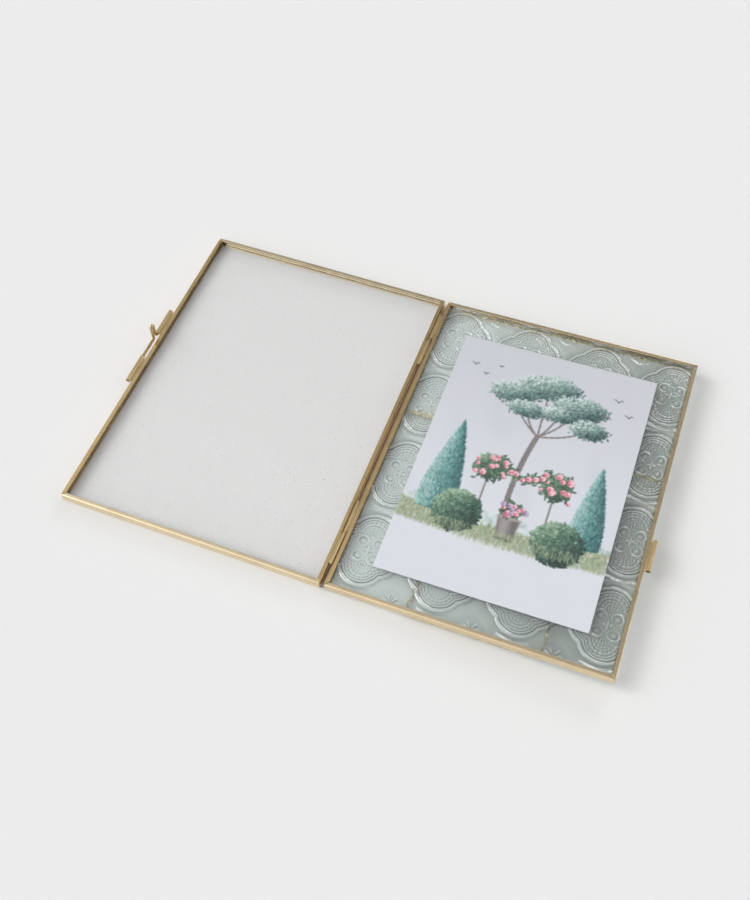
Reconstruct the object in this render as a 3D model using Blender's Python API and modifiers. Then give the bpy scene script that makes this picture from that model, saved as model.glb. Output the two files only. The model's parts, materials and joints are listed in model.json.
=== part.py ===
"""Folding floating picture frame: two brass-edged glass leaves, hinged like a book and lying open.

+Z is up and the open frame lies on z = 0. The origin is at the middle of the object's footprint.
The hinge runs along Y, the front leaf (clear glass, side latch) lies flat on the -X side, and the
back leaf (pressed glass, picture card, wire strut) is on the +X side, risen by OPEN_SHORT.
Each leaf is built around the hinge axis, with its mating face HINGE_LIFT below the axis.
"""

import math

import bmesh
import bpy
from mathutils import Matrix, Vector

# Both leaves
LEAF_WIDTH = 0.1182
LEAF_HEIGHT = 0.158
HALF_GAP = 0.0009  # from the hinge axis to each leaf's hinge edge
HINGE_LIFT = 0.0002  # from each mating face up to the hinge axis
OPEN_SHORT = math.radians(2.0)  # how far the open leaves stay short of flat
SHEET = 0.0005  # brass sheet that the channel rails are folded from
EDGE_RADIUS = 0.0004  # rounded fold of a rail
JOINT_GAP = 0.0003  # between pieces that are soldered or bedded together

# Front leaf
FRONT_THICKNESS = 0.0046
FRONT_FLANGE = 0.0017
CLEAR_GLASS_TOP = 0.0018  # depth of the pane below the mating face
CLEAR_GLASS = 0.0020

# Back leaf
BACK_THICKNESS = 0.0040
BACK_FLANGE = 0.0017
PRESSED_GLASS_TOP = 0.00135
PRESSED_GLASS = 0.0015

# Hinges: two knuckles on one pin, above and below mid height
KNUCKLE_RADIUS = 0.0006
KNUCKLE_BORE = 0.0004
KNUCKLE_LENGTH = 0.0154
KNUCKLE_GAP = 0.0003
HINGE_OFFSET = 0.0540
HINGE_PIN_RADIUS = 0.0003
HINGE_PIN_INSET = 0.0012  # from the end of a knuckle in to the end of the pin

# Latch: a wire bolt in two guide tubes on the front leaf, and its catch on the back leaf
LATCH_TUBE_RADIUS = 0.00105
LATCH_TUBE_BORE = 0.0008
LATCH_TUBE_LENGTH = 0.0145
UPPER_GUIDE_Y = 0.0203  # middles of the three tubes along the leaf
LOWER_GUIDE_Y = -0.0087
CATCH_Y = -0.02345
BOLT_RADIUS = 0.0007
BOLT_BEND = 0.0011
BOLT_TIP_Y = -0.0140
BOLT_TAIL_Y = 0.0245
THUMB_LOOP_Y = 0.0108
THUMB_LOOP_WIDTH = 0.0019
THUMB_LOOP_HEIGHT = 0.0083

# Strut: a wire loop on two sleeves that turn on a bar across the back leaf
BAR_Y = 0.0145
BAR_DEPTH = 0.00398  # of the bar's axis below the mating face
BAR_RADIUS = 0.0007
SLEEVE_BORE = 0.0008
SLEEVE_RADIUS = 0.00105
SLEEVE_LENGTH = 0.0080
STRUT_WIRE_RADIUS = 0.0008
STRUT_SHIFT = 0.0025  # from the leaf's middle towards the latch
STRUT_TOP_HALF = 0.0220
STRUT_FOOT_HALF = 0.0280
STRUT_FOOT_Y = -0.0778
STRUT_BEND = 0.0040

# Picture card
CARD_WIDTH = 0.089
CARD_HEIGHT = 0.127
CARD_THICKNESS = 0.00035
CARD_X = 0.0602  # from the hinge axis
CARD_Y = -0.0005
CARD_TURN = math.radians(0.4)

ROUND_SIDES = 24
BEND_STEPS = 6

# Worked out from the dimensions above
HINGE_Z = FRONT_THICKNESS + HINGE_LIFT
LEAF_MIDDLE = HALF_GAP + LEAF_WIDTH / 2
LATCH_X = HALF_GAP + LEAF_WIDTH + JOINT_GAP + LATCH_TUBE_RADIUS
HINGE_X = LATCH_X * (1 - math.cos(OPEN_SHORT)) / 2
STRUT_X = LEAF_MIDDLE + STRUT_SHIFT
BAR_Z = -HINGE_LIFT - BAR_DEPTH
# The strut's hinge-side foot just meets z = 0 while the front leaf lies flat.
STRUT_Z = -(
    HINGE_Z + (STRUT_X - STRUT_FOOT_HALF) * math.sin(OPEN_SHORT) - STRUT_WIRE_RADIUS
) / math.cos(OPEN_SHORT)

BRASS = (0.62, 0.46, 0.22, 1.0)
PALE_BRASS = (0.70, 0.57, 0.34, 1.0)
CLEAR = (0.90, 0.93, 0.92, 0.25)
GREEN_GREY = (0.62, 0.68, 0.65, 0.45)
CARD_WHITE = (0.72, 0.75, 0.80, 1.0)


def clear_scene():
    for obj in list(bpy.data.objects):
        bpy.data.objects.remove(obj, do_unlink=True)


def new_collection(name):
    collection = bpy.data.collections.new(name)
    bpy.context.scene.collection.children.link(collection)
    return collection


def give_material(obj, colour, roughness, metallic):
    material = bpy.data.materials.new(obj.name)
    material.use_nodes = True
    shader = material.node_tree.nodes["Principled BSDF"]
    shader.inputs["Base Color"].default_value = colour
    shader.inputs["Roughness"].default_value = roughness
    shader.inputs["Metallic"].default_value = metallic
    shader.inputs["Alpha"].default_value = colour[3]
    material.diffuse_color = colour
    obj.data.materials.append(material)


def brass(obj, colour=BRASS, roughness=0.32):
    give_material(obj, colour, roughness, 1.0)


def add_object(name, data, parent, location=(0, 0, 0), turn=0.0):
    """An object in the frame's collection, moved and turned about Z within its parent."""
    obj = bpy.data.objects.new(name, data)
    frame_parts.objects.link(obj)
    obj.parent = parent
    obj.location = location
    obj.rotation_euler = (0, 0, turn)
    return obj


def mesh_from(name, shape, smooth):
    mesh = bpy.data.meshes.new(name)
    shape.to_mesh(mesh)
    shape.free()
    if smooth:
        mesh.shade_smooth()
        mesh.set_sharp_from_angle(angle=math.radians(35))
    return mesh


def slab(name, parent, size, location, turn=0.0):
    """A plain box of this size, centred on location."""
    shape = bmesh.new()
    bmesh.ops.create_cube(shape, size=1.0)
    bmesh.ops.scale(shape, vec=size, verts=shape.verts)
    return add_object(name, mesh_from(name, shape, False), parent, location, turn)


def round_bar(name, parent, radius, length, along, location):
    """A solid round bar along the X or Y axis."""
    shape = bmesh.new()
    bmesh.ops.create_cone(
        shape,
        cap_ends=True,
        segments=ROUND_SIDES,
        radius1=radius,
        radius2=radius,
        depth=length,
        matrix=LIE_ALONG[along],
    )
    return add_object(name, mesh_from(name, shape, True), parent, location)


def tube(name, parent, radius, bore, length, along, location):
    """An open tube along the X or Y axis: a cylinder wall thickened inwards."""
    shape = bmesh.new()
    bmesh.ops.create_cone(
        shape,
        cap_ends=False,
        segments=ROUND_SIDES,
        radius1=radius,
        radius2=radius,
        depth=length,
        matrix=LIE_ALONG[along],
    )
    obj = add_object(name, mesh_from(name, shape, True), parent, location)
    wall = obj.modifiers.new("Wall", "SOLIDIFY")
    wall.thickness = radius - bore
    wall.offset = -1.0
    wall.use_even_offset = True
    return obj


def rounded_path(corners, radius):
    """The corners' path with each inner corner replaced by an arc of this radius."""
    path = [corners[0]]
    for before, corner, after in zip(corners, corners[1:], corners[2:]):
        arriving = (corner - before).normalized()
        leaving = (after - corner).normalized()
        bend = arriving.angle(leaving)
        start = corner - arriving * radius * math.tan(bend / 2)
        centre = start + (leaving - arriving * arriving.dot(leaving)).normalized() * radius
        axis = arriving.cross(leaving).normalized()
        for step in range(BEND_STEPS + 1):
            turned = Matrix.Rotation(bend * step / BEND_STEPS, 3, axis) @ (start - centre)
            path.append(centre + turned)
    path.append(corners[-1])
    return path


def wire(name, parent, path, radius, location):
    """A round wire with closed ends along a path of points."""
    curve = bpy.data.curves.new(name, "CURVE")
    curve.dimensions = "3D"
    curve.bevel_depth = radius
    curve.bevel_resolution = 2
    curve.use_fill_caps = True
    spline = curve.splines.new("POLY")
    spline.points.add(len(path) - 1)
    for point, place in zip(spline.points, path):
        point.co = (*place, 1.0)
    return add_object(name, curve, parent, location)


def channel_outline(flange, thickness):
    """The rail's C section as (depth into the leaf, height), from the mating flange's inner edge round."""
    outline = [(flange, -SHEET), (flange, 0.0)]
    for centre_z, first in ((-EDGE_RADIUS, 90), (EDGE_RADIUS - thickness, 180)):
        for step in range(BEND_STEPS + 1):
            angle = math.radians(first + 90 * step / BEND_STEPS)
            outline.append(
                (
                    EDGE_RADIUS + EDGE_RADIUS * math.cos(angle),
                    centre_z + EDGE_RADIUS * math.sin(angle),
                )
            )
    outline += [(flange, -thickness), (flange, SHEET - thickness)]
    outline += [(SHEET, SHEET - thickness), (SHEET, -SHEET)]
    return outline


def rail(name, parent, length, flange, thickness, location, turn):
    """A channel rail with mitred ends. Its outer side is at y = 0 and it opens towards +Y."""
    shape = bmesh.new()
    section = [
        shape.verts.new((-length / 2, depth, height))
        for depth, height in channel_outline(flange, thickness)
    ]
    end = shape.faces.new(section)
    grown = bmesh.ops.extrude_face_region(shape, geom=[end])["geom"]
    far = [item for item in grown if isinstance(item, bmesh.types.BMVert)]
    bmesh.ops.translate(shape, verts=far, vec=(length, 0, 0))
    for vertex in shape.verts:
        reach = length / 2 - vertex.co.y - JOINT_GAP / 2
        vertex.co.x = math.copysign(reach, vertex.co.x)
    bmesh.ops.recalc_face_normals(shape, faces=shape.faces)
    obj = add_object(name, mesh_from(name, shape, True), parent, location, turn)
    brass(obj, PALE_BRASS, 0.28)
    return obj


def leaf_rails(prefix, parent, side, flange, thickness):
    """The four rails of a leaf, on the +X side of the hinge for side 1 and on the -X side for -1."""
    middle = side * LEAF_MIDDLE
    hinge_edge = side * HALF_GAP
    latch_edge = side * (HALF_GAP + LEAF_WIDTH)
    top = LEAF_HEIGHT / 2
    mating = -HINGE_LIFT
    for part, length, x, y, turn in (
        ("top_rail", LEAF_WIDTH, middle, top, math.pi),
        ("bottom_rail", LEAF_WIDTH, middle, -top, 0.0),
        ("hinge_rail", LEAF_HEIGHT, hinge_edge, 0.0, -side * math.pi / 2),
        ("latch_rail", LEAF_HEIGHT, latch_edge, 0.0, side * math.pi / 2),
    ):
        name = f"{prefix}_{part}"
        rail(name, parent, length, flange, thickness, (x, y, mating), turn)


def pane(name, parent, side, depth, thickness, colour, roughness):
    """A leaf's glass, its edges inside the rails' channels."""
    inset = 2 * (SHEET + JOINT_GAP)
    size = (LEAF_WIDTH - inset, LEAF_HEIGHT - inset, thickness)
    height = -HINGE_LIFT - depth - thickness / 2
    obj = slab(name, parent, size, (side * LEAF_MIDDLE, 0, height))
    give_material(obj, colour, roughness, 0.0)


def hinges(front_leaf, back_leaf):
    """Two hinges. The knuckle nearer the top is the back leaf's, and the other is the front leaf's."""
    step = (KNUCKLE_LENGTH + KNUCKLE_GAP) / 2
    pin_length = 2 * (step + KNUCKLE_LENGTH / 2 - HINGE_PIN_INSET)
    for place, y in (("upper", HINGE_OFFSET), ("lower", -HINGE_OFFSET)):
        for owner, leaf, knuckle_y in (
            ("back", back_leaf, y + step),
            ("front", front_leaf, y - step),
        ):
            name = f"{owner}_{place}_knuckle"
            brass(
                tube(
                    name,
                    leaf,
                    KNUCKLE_RADIUS,
                    KNUCKLE_BORE,
                    KNUCKLE_LENGTH,
                    "Y",
                    (0, knuckle_y, 0),
                )
            )
        pin = round_bar(
            f"{place}_hinge_pin", front_leaf, HINGE_PIN_RADIUS, pin_length, "Y", (0, y, 0)
        )
        brass(pin)


def latch_tube(name, leaf, side, y):
    location = (side * LATCH_X, y, 0)
    brass(
        tube(
            name,
            leaf,
            LATCH_TUBE_RADIUS,
            LATCH_TUBE_BORE,
            LATCH_TUBE_LENGTH,
            "Y",
            location,
        )
    )


def latch_bolt(front_leaf):
    """A straight wire with a thumb loop that stands up between the guide tubes."""
    near = THUMB_LOOP_Y - THUMB_LOOP_WIDTH / 2
    far = THUMB_LOOP_Y + THUMB_LOOP_WIDTH / 2
    straight = THUMB_LOOP_HEIGHT - THUMB_LOOP_WIDTH / 2
    foot = rounded_path(
        [Vector((0, BOLT_TIP_Y, 0)), Vector((0, near, 0)), Vector((0, near, straight))],
        BOLT_BEND,
    )
    crown = []
    for step in range(1, 2 * BEND_STEPS):
        angle = math.pi * step / (2 * BEND_STEPS)
        y = THUMB_LOOP_Y - THUMB_LOOP_WIDTH / 2 * math.cos(angle)
        crown.append(Vector((0, y, straight + THUMB_LOOP_WIDTH / 2 * math.sin(angle))))
    tail = rounded_path(
        [Vector((0, far, straight)), Vector((0, far, 0)), Vector((0, BOLT_TAIL_Y, 0))],
        BOLT_BEND,
    )
    bolt = wire("latch_bolt", front_leaf, foot + crown + tail, BOLT_RADIUS, (-LATCH_X, 0, 0))
    brass(bolt, BRASS, 0.25)


def strut(back_leaf):
    """The bar, fixed between the side rails, and the loop and sleeves that swing on it."""
    bar_length = LEAF_WIDTH - 2 * (BACK_FLANGE + JOINT_GAP)
    bar = round_bar(
        "strut_bar", back_leaf, BAR_RADIUS, bar_length, "X", (LEAF_MIDDLE, BAR_Y, BAR_Z)
    )
    brass(bar)
    swing = add_object("strut_pivot", None, back_leaf, (STRUT_X, BAR_Y, BAR_Z))
    for place, side in (("inner", -1), ("outer", 1)):
        sleeve = tube(
            f"strut_{place}_sleeve",
            swing,
            SLEEVE_RADIUS,
            SLEEVE_BORE,
            SLEEVE_LENGTH,
            "X",
            (side * STRUT_TOP_HALF, 0, 0),
        )
        brass(sleeve)
    drop = STRUT_Z - BAR_Z
    top_y = -SLEEVE_RADIUS - JOINT_GAP
    foot_y = STRUT_FOOT_Y - BAR_Y
    corners = [
        Vector((-STRUT_TOP_HALF, top_y, drop)),
        Vector((-STRUT_FOOT_HALF, foot_y, drop)),
        Vector((STRUT_FOOT_HALF, foot_y, drop)),
        Vector((STRUT_TOP_HALF, top_y, drop)),
    ]
    loop = wire(
        "strut_loop", swing, rounded_path(corners, STRUT_BEND), STRUT_WIRE_RADIUS, (0, 0, 0)
    )
    brass(loop)


def picture_card(back_leaf):
    """The loose card, lying on the pressed glass."""
    height = -HINGE_LIFT - PRESSED_GLASS_TOP + JOINT_GAP + CARD_THICKNESS / 2
    card = slab(
        "picture_card",
        back_leaf,
        (CARD_WIDTH, CARD_HEIGHT, CARD_THICKNESS),
        (CARD_X, CARD_Y, height),
        CARD_TURN,
    )
    give_material(card, CARD_WHITE, 0.55, 0.0)


LIE_ALONG = {
    "X": Matrix.Rotation(math.pi / 2, 4, "Y"),
    "Y": Matrix.Rotation(math.pi / 2, 4, "X"),
}

clear_scene()
frame_parts = new_collection("floating_frame")

front = add_object("front_leaf_hinge", None, None, (HINGE_X, 0, HINGE_Z))
back = add_object("back_leaf_hinge", None, None, (HINGE_X, 0, HINGE_Z))
back.rotation_euler = (0, -OPEN_SHORT, 0)

leaf_rails("front", front, -1, FRONT_FLANGE, FRONT_THICKNESS)
leaf_rails("back", back, 1, BACK_FLANGE, BACK_THICKNESS)
pane("clear_glass", front, -1, CLEAR_GLASS_TOP, CLEAR_GLASS, CLEAR, 0.05)
pane("pressed_glass", back, 1, PRESSED_GLASS_TOP, PRESSED_GLASS, GREEN_GREY, 0.15)
hinges(front, back)
latch_tube("upper_guide_tube", front, -1, UPPER_GUIDE_Y)
latch_tube("lower_guide_tube", front, -1, LOWER_GUIDE_Y)
latch_tube("catch_tube", back, 1, CATCH_Y)
latch_bolt(front)
strut(back)
picture_card(back)
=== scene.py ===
"""Looks of the folding floating picture frame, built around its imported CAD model.

The brass nodes are carried over as finer copies with rolled edges, the pressed glass gets its
relief as real geometry, and the card gets a painted garden print of the builder's own design.
Lengths are in metres unless a name ends in _MM.
"""

import json
import math

import bmesh
import bpy
import numpy as np
from mathutils import Matrix, Vector


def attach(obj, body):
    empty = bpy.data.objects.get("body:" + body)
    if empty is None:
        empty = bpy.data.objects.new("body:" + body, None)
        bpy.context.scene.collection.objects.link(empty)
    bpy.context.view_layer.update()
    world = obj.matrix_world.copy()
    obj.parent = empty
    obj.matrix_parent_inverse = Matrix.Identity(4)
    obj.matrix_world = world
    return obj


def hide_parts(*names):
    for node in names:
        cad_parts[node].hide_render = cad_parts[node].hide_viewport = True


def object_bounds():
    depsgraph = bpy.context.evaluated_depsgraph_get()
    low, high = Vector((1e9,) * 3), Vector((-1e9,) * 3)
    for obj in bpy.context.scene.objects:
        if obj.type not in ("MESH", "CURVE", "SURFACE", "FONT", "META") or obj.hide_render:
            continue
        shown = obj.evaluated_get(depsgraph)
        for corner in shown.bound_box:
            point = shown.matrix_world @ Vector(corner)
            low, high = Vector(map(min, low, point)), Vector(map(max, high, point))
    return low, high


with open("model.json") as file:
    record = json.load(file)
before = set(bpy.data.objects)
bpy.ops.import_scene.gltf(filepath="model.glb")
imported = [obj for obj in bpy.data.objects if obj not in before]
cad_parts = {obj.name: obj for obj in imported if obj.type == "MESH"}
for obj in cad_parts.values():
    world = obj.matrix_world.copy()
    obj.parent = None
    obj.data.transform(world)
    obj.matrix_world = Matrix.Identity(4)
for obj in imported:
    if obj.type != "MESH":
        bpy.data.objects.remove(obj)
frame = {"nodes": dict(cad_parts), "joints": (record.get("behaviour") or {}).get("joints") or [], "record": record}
CAD_LOW, CAD_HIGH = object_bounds()
NODES = frame["nodes"]
JOINTS = {joint["name"]: joint for joint in frame["joints"]}
BODY_OF_NODE = {
    node: body for body, nodes in frame["record"]["behaviour"]["bodies"].items() for node in nodes
}
MM = 0.001
WHITE = (1.0, 1.0, 1.0, 1.0)
X_AXIS, Y_AXIS, Z_AXIS = Vector((1, 0, 0)), Vector((0, 1, 0)), Vector((0, 0, 1))

# Camera in the row frame, fitted to the corners of the leaves and the card
CAMERA_PLACE = Vector((0.085866, -0.239257, 0.383195))
CAMERA_FORWARD = Vector((-0.196, 0.505, -0.841))
CAMERA_RIGHT = Vector((0.936, 0.352, -0.007))
CAMERA_LENS = 41.64
CAMERA_SENSOR = 36.0

# Leaf frames: x runs from the hinge edge outwards, y along the hinge, z out of the mating face
HINGE_POINT = Vector(JOINTS["leaf_hinge"]["pos_m"])
BACK_NORMAL = Vector(JOINTS["card_lift"]["axis"]).normalized()


def frame_matrix(across, along, normal, origin):
    """The matrix from a frame with these axes and origin to the row frame."""
    matrix = Matrix((across, along, normal)).transposed().to_4x4()
    matrix.translation = origin
    return matrix


BACK_LEAF = frame_matrix(Y_AXIS.cross(BACK_NORMAL), Y_AXIS, BACK_NORMAL, HINGE_POINT)
FRONT_LEAF = frame_matrix(X_AXIS, Y_AXIS, Z_AXIS, HINGE_POINT)


def node_points(node, matrix):
    """Vertices of a CAD node in a leaf's own frame, as an array."""
    count = len(NODES[node].data.vertices)
    flat = np.zeros(count * 3, np.float32)
    NODES[node].data.vertices.foreach_get("co", flat)
    inverse = np.array(matrix.inverted())
    return flat.reshape(-1, 3) @ inverse[:3, :3].T + inverse[:3, 3]


def leaf_box(node, matrix):
    """Lowest and highest corner of a CAD node in a leaf's own frame."""
    points = node_points(node, matrix)
    return points.min(0), points.max(0)


# ---- materials


def new_material(name):
    """A material with an empty node tree and its output node."""
    material = bpy.data.materials.new(name)
    material.use_nodes = True
    tree = material.node_tree
    tree.nodes.clear()
    output = tree.nodes.new("ShaderNodeOutputMaterial")
    return material, tree, output


def add_node(tree, kind, inputs=None, **settings):
    """Adds a node; an input's value is either a number or colour, or a socket to link from."""
    node = tree.nodes.new(kind)
    for key, value in settings.items():
        setattr(node, key, value)
    for key, value in (inputs or {}).items():
        if isinstance(value, bpy.types.NodeSocket):
            tree.links.new(value, node.inputs[key])
        else:
            node.inputs[key].default_value = value
    return node


def object_coordinates(tree, scale=(1, 1, 1)):
    place = add_node(tree, "ShaderNodeTexCoord")
    return add_node(
        tree, "ShaderNodeMapping", {"Vector": place.outputs["Object"], "Scale": scale}
    ).outputs["Vector"]


def noise(tree, vector, scale, detail=3.0, roughness=0.5):
    return add_node(
        tree,
        "ShaderNodeTexNoise",
        {"Vector": vector, "Scale": scale, "Detail": detail, "Roughness": roughness},
    ).outputs["Fac"]


def spread(tree, value, low, high, to_low, to_high):
    """Maps value from low..high to to_low..to_high, clamped."""
    return add_node(
        tree,
        "ShaderNodeMapRange",
        {"Value": value, "From Min": low, "From Max": high, "To Min": to_low, "To Max": to_high},
        interpolation_type="SMOOTHSTEP",
    ).outputs["Result"]


def mix_colour(tree, factor, first, second):
    node = add_node(tree, "ShaderNodeMix", data_type="RGBA")
    for socket, value in zip((node.inputs[0], node.inputs[6], node.inputs[7]), (factor, first, second)):
        if isinstance(value, bpy.types.NodeSocket):
            tree.links.new(value, socket)
        else:
            socket.default_value = value
    return node.outputs[2]


def bump(tree, height, strength, distance, normal=None):
    inputs = {"Height": height, "Strength": strength, "Distance": distance}
    if normal is not None:
        inputs["Normal"] = normal
    return add_node(tree, "ShaderNodeBump", inputs).outputs["Normal"]


def finish_material(material, tree, output, inputs):
    """Ends a material with one Principled shader."""
    shader = add_node(tree, "ShaderNodeBsdfPrincipled", inputs)
    tree.links.new(shader.outputs["BSDF"], output.inputs["Surface"])
    return material


def lighter(colour):
    """A colour a little lighter, for the crests of the brass's grain."""
    return tuple(min(1.0, 1.12 * channel + 0.03) for channel in colour[:3]) + (1.0,)


def brass(name, colour, tarnish, roughness, grain_scale, grain_depth):
    """Brass with brushed or drawn grain, cloudy tarnish, and a slightly uneven surface."""
    material, tree, output = new_material(name)
    plain = object_coordinates(tree)
    grain = noise(tree, object_coordinates(tree, grain_scale), 1.0, detail=4.0, roughness=0.6)
    swell = noise(tree, plain, 160.0, detail=1.0, roughness=0.4)
    cloud = noise(tree, plain, 90.0, detail=4.0)
    fleck = noise(tree, plain, 900.0, detail=2.0)
    worn = mix_colour(tree, spread(tree, cloud, 0.45, 0.8, 0.0, 0.45), colour, tarnish)
    toned = mix_colour(tree, spread(tree, grain, 0.35, 0.75, 0.0, 0.12), worn, lighter(colour))
    uneven = bump(tree, swell, 0.5, BRASS_SWELL_DEPTH)
    inputs = {
        "Base Color": toned,
        "Metallic": 1.0,
        "Roughness": spread(tree, fleck, 0.3, 0.7, roughness - 0.02, roughness + 0.04),
        "Normal": bump(tree, grain, 0.4, grain_depth, uneven),
    }
    return finish_material(material, tree, output, inputs)


def painted_glint_brass(name, metallic):
    """Brass flecked with painted glints and painted dark gaps between them, for the wire and crust seen through
    the pressed glass.
    """
    material, tree, output = new_material(name)
    glint_noise = noise(tree, object_coordinates(tree), 620.0, detail=2.0, roughness=0.6)
    inputs = {
        "Base Color": mix_colour(tree, spread(tree, glint_noise, 0.40, 0.60, 0.0, 1.0), GLINT_GAP_SHADE, PAINTED_GLINT),
        "Metallic": metallic,
        "Roughness": spread(tree, glint_noise, 0.3, 0.7, 0.42, 0.24),
        "Normal": bump(tree, glint_noise, 0.5, 0.08 * MM),
    }
    return finish_material(material, tree, output, inputs)


def glass(name, tint, shade, clearness, bend, dust, normal=None):
    """Glass that lets lamp light through to what is under it, with a film of fine dust."""
    material, tree, output = new_material(name)
    plain = object_coordinates(tree)
    smear = noise(tree, plain, 35.0, detail=4.0, roughness=0.6)
    speck = noise(tree, plain, 1400.0, detail=1.0)
    inputs = {
        "Base Color": tint(tree) if callable(tint) else tint,
        "Transmission Weight": clearness,
        "IOR": bend,
        "Roughness": spread(tree, smear, 0.4, 0.75, 0.0, 0.03),
    }
    if normal is not None:
        inputs["Normal"] = normal(tree)
    shader = add_node(tree, "ShaderNodeBsdfPrincipled", inputs)
    through = add_node(tree, "ShaderNodeBsdfTransparent", {"Color": shade})
    path = add_node(tree, "ShaderNodeLightPath")
    film = add_node(tree, "ShaderNodeBsdfDiffuse", {"Color": DUST_COLOUR})
    lit = {0: path.outputs["Is Shadow Ray"], 1: shader.outputs["BSDF"], 2: through.outputs["BSDF"]}
    mixed = add_node(tree, "ShaderNodeMixShader", lit)
    specks = spread(tree, speck, 0.70, 0.78, dust, SPECK_COVER)
    dusted = {0: specks, 1: mixed.outputs[0], 2: film.outputs["BSDF"]}
    dusty = add_node(tree, "ShaderNodeMixShader", dusted)
    tree.links.new(dusty.outputs[0], output.inputs["Surface"])
    return material


def fine_stipple(tree):
    """Rolled skin of the pressed glass, finer than its mesh."""
    grain = noise(tree, object_coordinates(tree), 950.0, detail=2.0, roughness=0.6)
    return bump(tree, grain, 1.0, 0.11 * MM)


def relief_painted_shading(tree):
    """Grey-green glass with painted shade beside the ridges and painted highlights along their tops, and painted
    shade that deepens across the leaf towards the latch side.
    """
    place = add_node(tree, "ShaderNodeTexCoord").outputs["Object"]
    along = add_node(tree, "ShaderNodeSeparateXYZ", {"Vector": place}).outputs["X"]
    # painted shade across the leaf, deepening towards the latch side
    body = mix_colour(tree, spread(tree, along, *GLASS_PAINTED_SHADE_SPAN, 0.0, 1.0), GLASS_GREEN, GLASS_PAINTED_SHADE)
    # tone below 0.5 gives painted shade beside the ridges, above 0.5 painted highlight on their tops
    tone = add_node(tree, "ShaderNodeAttribute", attribute_name="tone").outputs["Fac"]
    low = mix_colour(tree, spread(tree, tone, 0.0, 0.5, 0.0, 1.0), GLASS_SHADOW, body)
    return mix_colour(tree, spread(tree, tone, 0.5, 1.0, 0.0, 1.0), low, WHITE)


def card_material():
    """Matt printed card: the print from the mesh's colours, with paper fibre and faint clouds."""
    material, tree, output = new_material("card_print")
    plain = object_coordinates(tree)
    ink = add_node(tree, "ShaderNodeVertexColor", layer_name="print").outputs["Color"]
    fibre = noise(tree, plain, 2600.0, detail=4.0, roughness=0.65)
    cloud = noise(tree, plain, 140.0)
    fibre_tone = mix_colour(tree, spread(tree, fibre, 0.3, 0.7, 0.0, 0.05), ink, FIBRE_COLOUR)
    inputs = {
        "Base Color": mix_colour(tree, spread(tree, cloud, 0.35, 0.7, 0.0, 0.04), fibre_tone, CLOUD_TINT),
        "Roughness": spread(tree, fibre, 0.3, 0.7, 0.5, 0.66),
        "Normal": bump(tree, fibre, 0.35, 0.03 * MM),
    }
    return finish_material(material, tree, output, inputs)


BRASS_SWELL_DEPTH = 0.03 * MM
# Rail brass: one brass in lighter and darker copies, painted light and painted shade set to how each rail looks
# lit; the cloudy tarnish within each is the brass's own
RAIL_PAINTED_LIT = (0.85, 0.72, 0.49, 1.0)
RAIL_PAINTED_LIT_TARNISH = (0.60, 0.44, 0.23, 1.0)
RAIL_PAINTED_MID = (0.82, 0.67, 0.44, 1.0)
RAIL_PAINTED_MID_TARNISH = (0.56, 0.42, 0.23, 1.0)
RAIL_PAINTED_SHADE = (0.73, 0.54, 0.28, 1.0)
RAIL_PAINTED_SHADE_TARNISH = (0.46, 0.30, 0.13, 1.0)
TUBE_COLOUR = (0.74, 0.57, 0.32, 1.0)
TUBE_TARNISH = (0.42, 0.29, 0.13, 1.0)
SOLDER_COLOUR = (0.74, 0.62, 0.40, 1.0)
SOLDER_TARNISH = (0.44, 0.34, 0.20, 1.0)
# Darker brass of the hinge seam lips: painted shade of the shaded rail sides in the hinge gap
SEAM_PAINTED_SHADE = (0.60, 0.43, 0.27, 1.0)
SEAM_PAINTED_SHADE_TARNISH = (0.40, 0.27, 0.16, 1.0)
# Painted glints: bright flecks and dark gaps that stand for broken glints seen through the pressed glass
GLINT_GAP_SHADE = (0.40, 0.28, 0.11, 1.0)
PAINTED_GLINT = (1.0, 0.86, 0.50, 1.0)
DUST_COLOUR = (0.8, 0.8, 0.78, 1.0)
SPECK_COVER = 0.35
GLASS_GREEN = (0.82, 0.865, 0.855, 1.0)
# Painted shade on the pressed glass, darker towards the latch side, where more shade lies under the raised leaf
GLASS_PAINTED_SHADE = (0.53, 0.575, 0.56, 1.0)
GLASS_PAINTED_SHADE_SPAN = (0.02, 0.118)  # from and to, across the back leaf
GLASS_SHADOW = (0.12, 0.16, 0.155, 1.0)
FIBRE_COLOUR = (0.5, 0.5, 0.5, 1.0)
CLOUD_TINT = (0.6, 0.62, 0.68, 1.0)

# Noise scales that draw the grain out along a rail, a tube or a wire
ALONG_X = (60.0, 9000.0, 9000.0)
ALONG_Y = (9000.0, 60.0, 9000.0)
TUBE_GRAIN = (2600.0, 500.0, 2600.0)
WIRE_GRAIN = (4000.0, 80.0, 4000.0)
SOLDER_GRAIN = (1500.0, 1500.0, 1500.0)
RAIL_ROUGHNESS = 0.22
RAIL_DEPTH = 0.0007 * MM

# Copies of one rail brass, lighter or darker per rail by painted light and shade
painted_lit_x = brass("rail_brass_painted_lit_x", RAIL_PAINTED_LIT, RAIL_PAINTED_LIT_TARNISH, RAIL_ROUGHNESS, ALONG_X, RAIL_DEPTH)
painted_mid_x = brass("rail_brass_painted_mid_x", RAIL_PAINTED_MID, RAIL_PAINTED_MID_TARNISH, RAIL_ROUGHNESS, ALONG_X, RAIL_DEPTH)
painted_mid_y = brass("rail_brass_painted_mid_y", RAIL_PAINTED_MID, RAIL_PAINTED_MID_TARNISH, RAIL_ROUGHNESS, ALONG_Y, RAIL_DEPTH)
painted_shade_y = brass("rail_brass_painted_shade", RAIL_PAINTED_SHADE, RAIL_PAINTED_SHADE_TARNISH, RAIL_ROUGHNESS, ALONG_Y, RAIL_DEPTH)
tube = brass("tube_brass_satin", TUBE_COLOUR, TUBE_TARNISH, 0.33, TUBE_GRAIN, 0.004 * MM)
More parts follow.
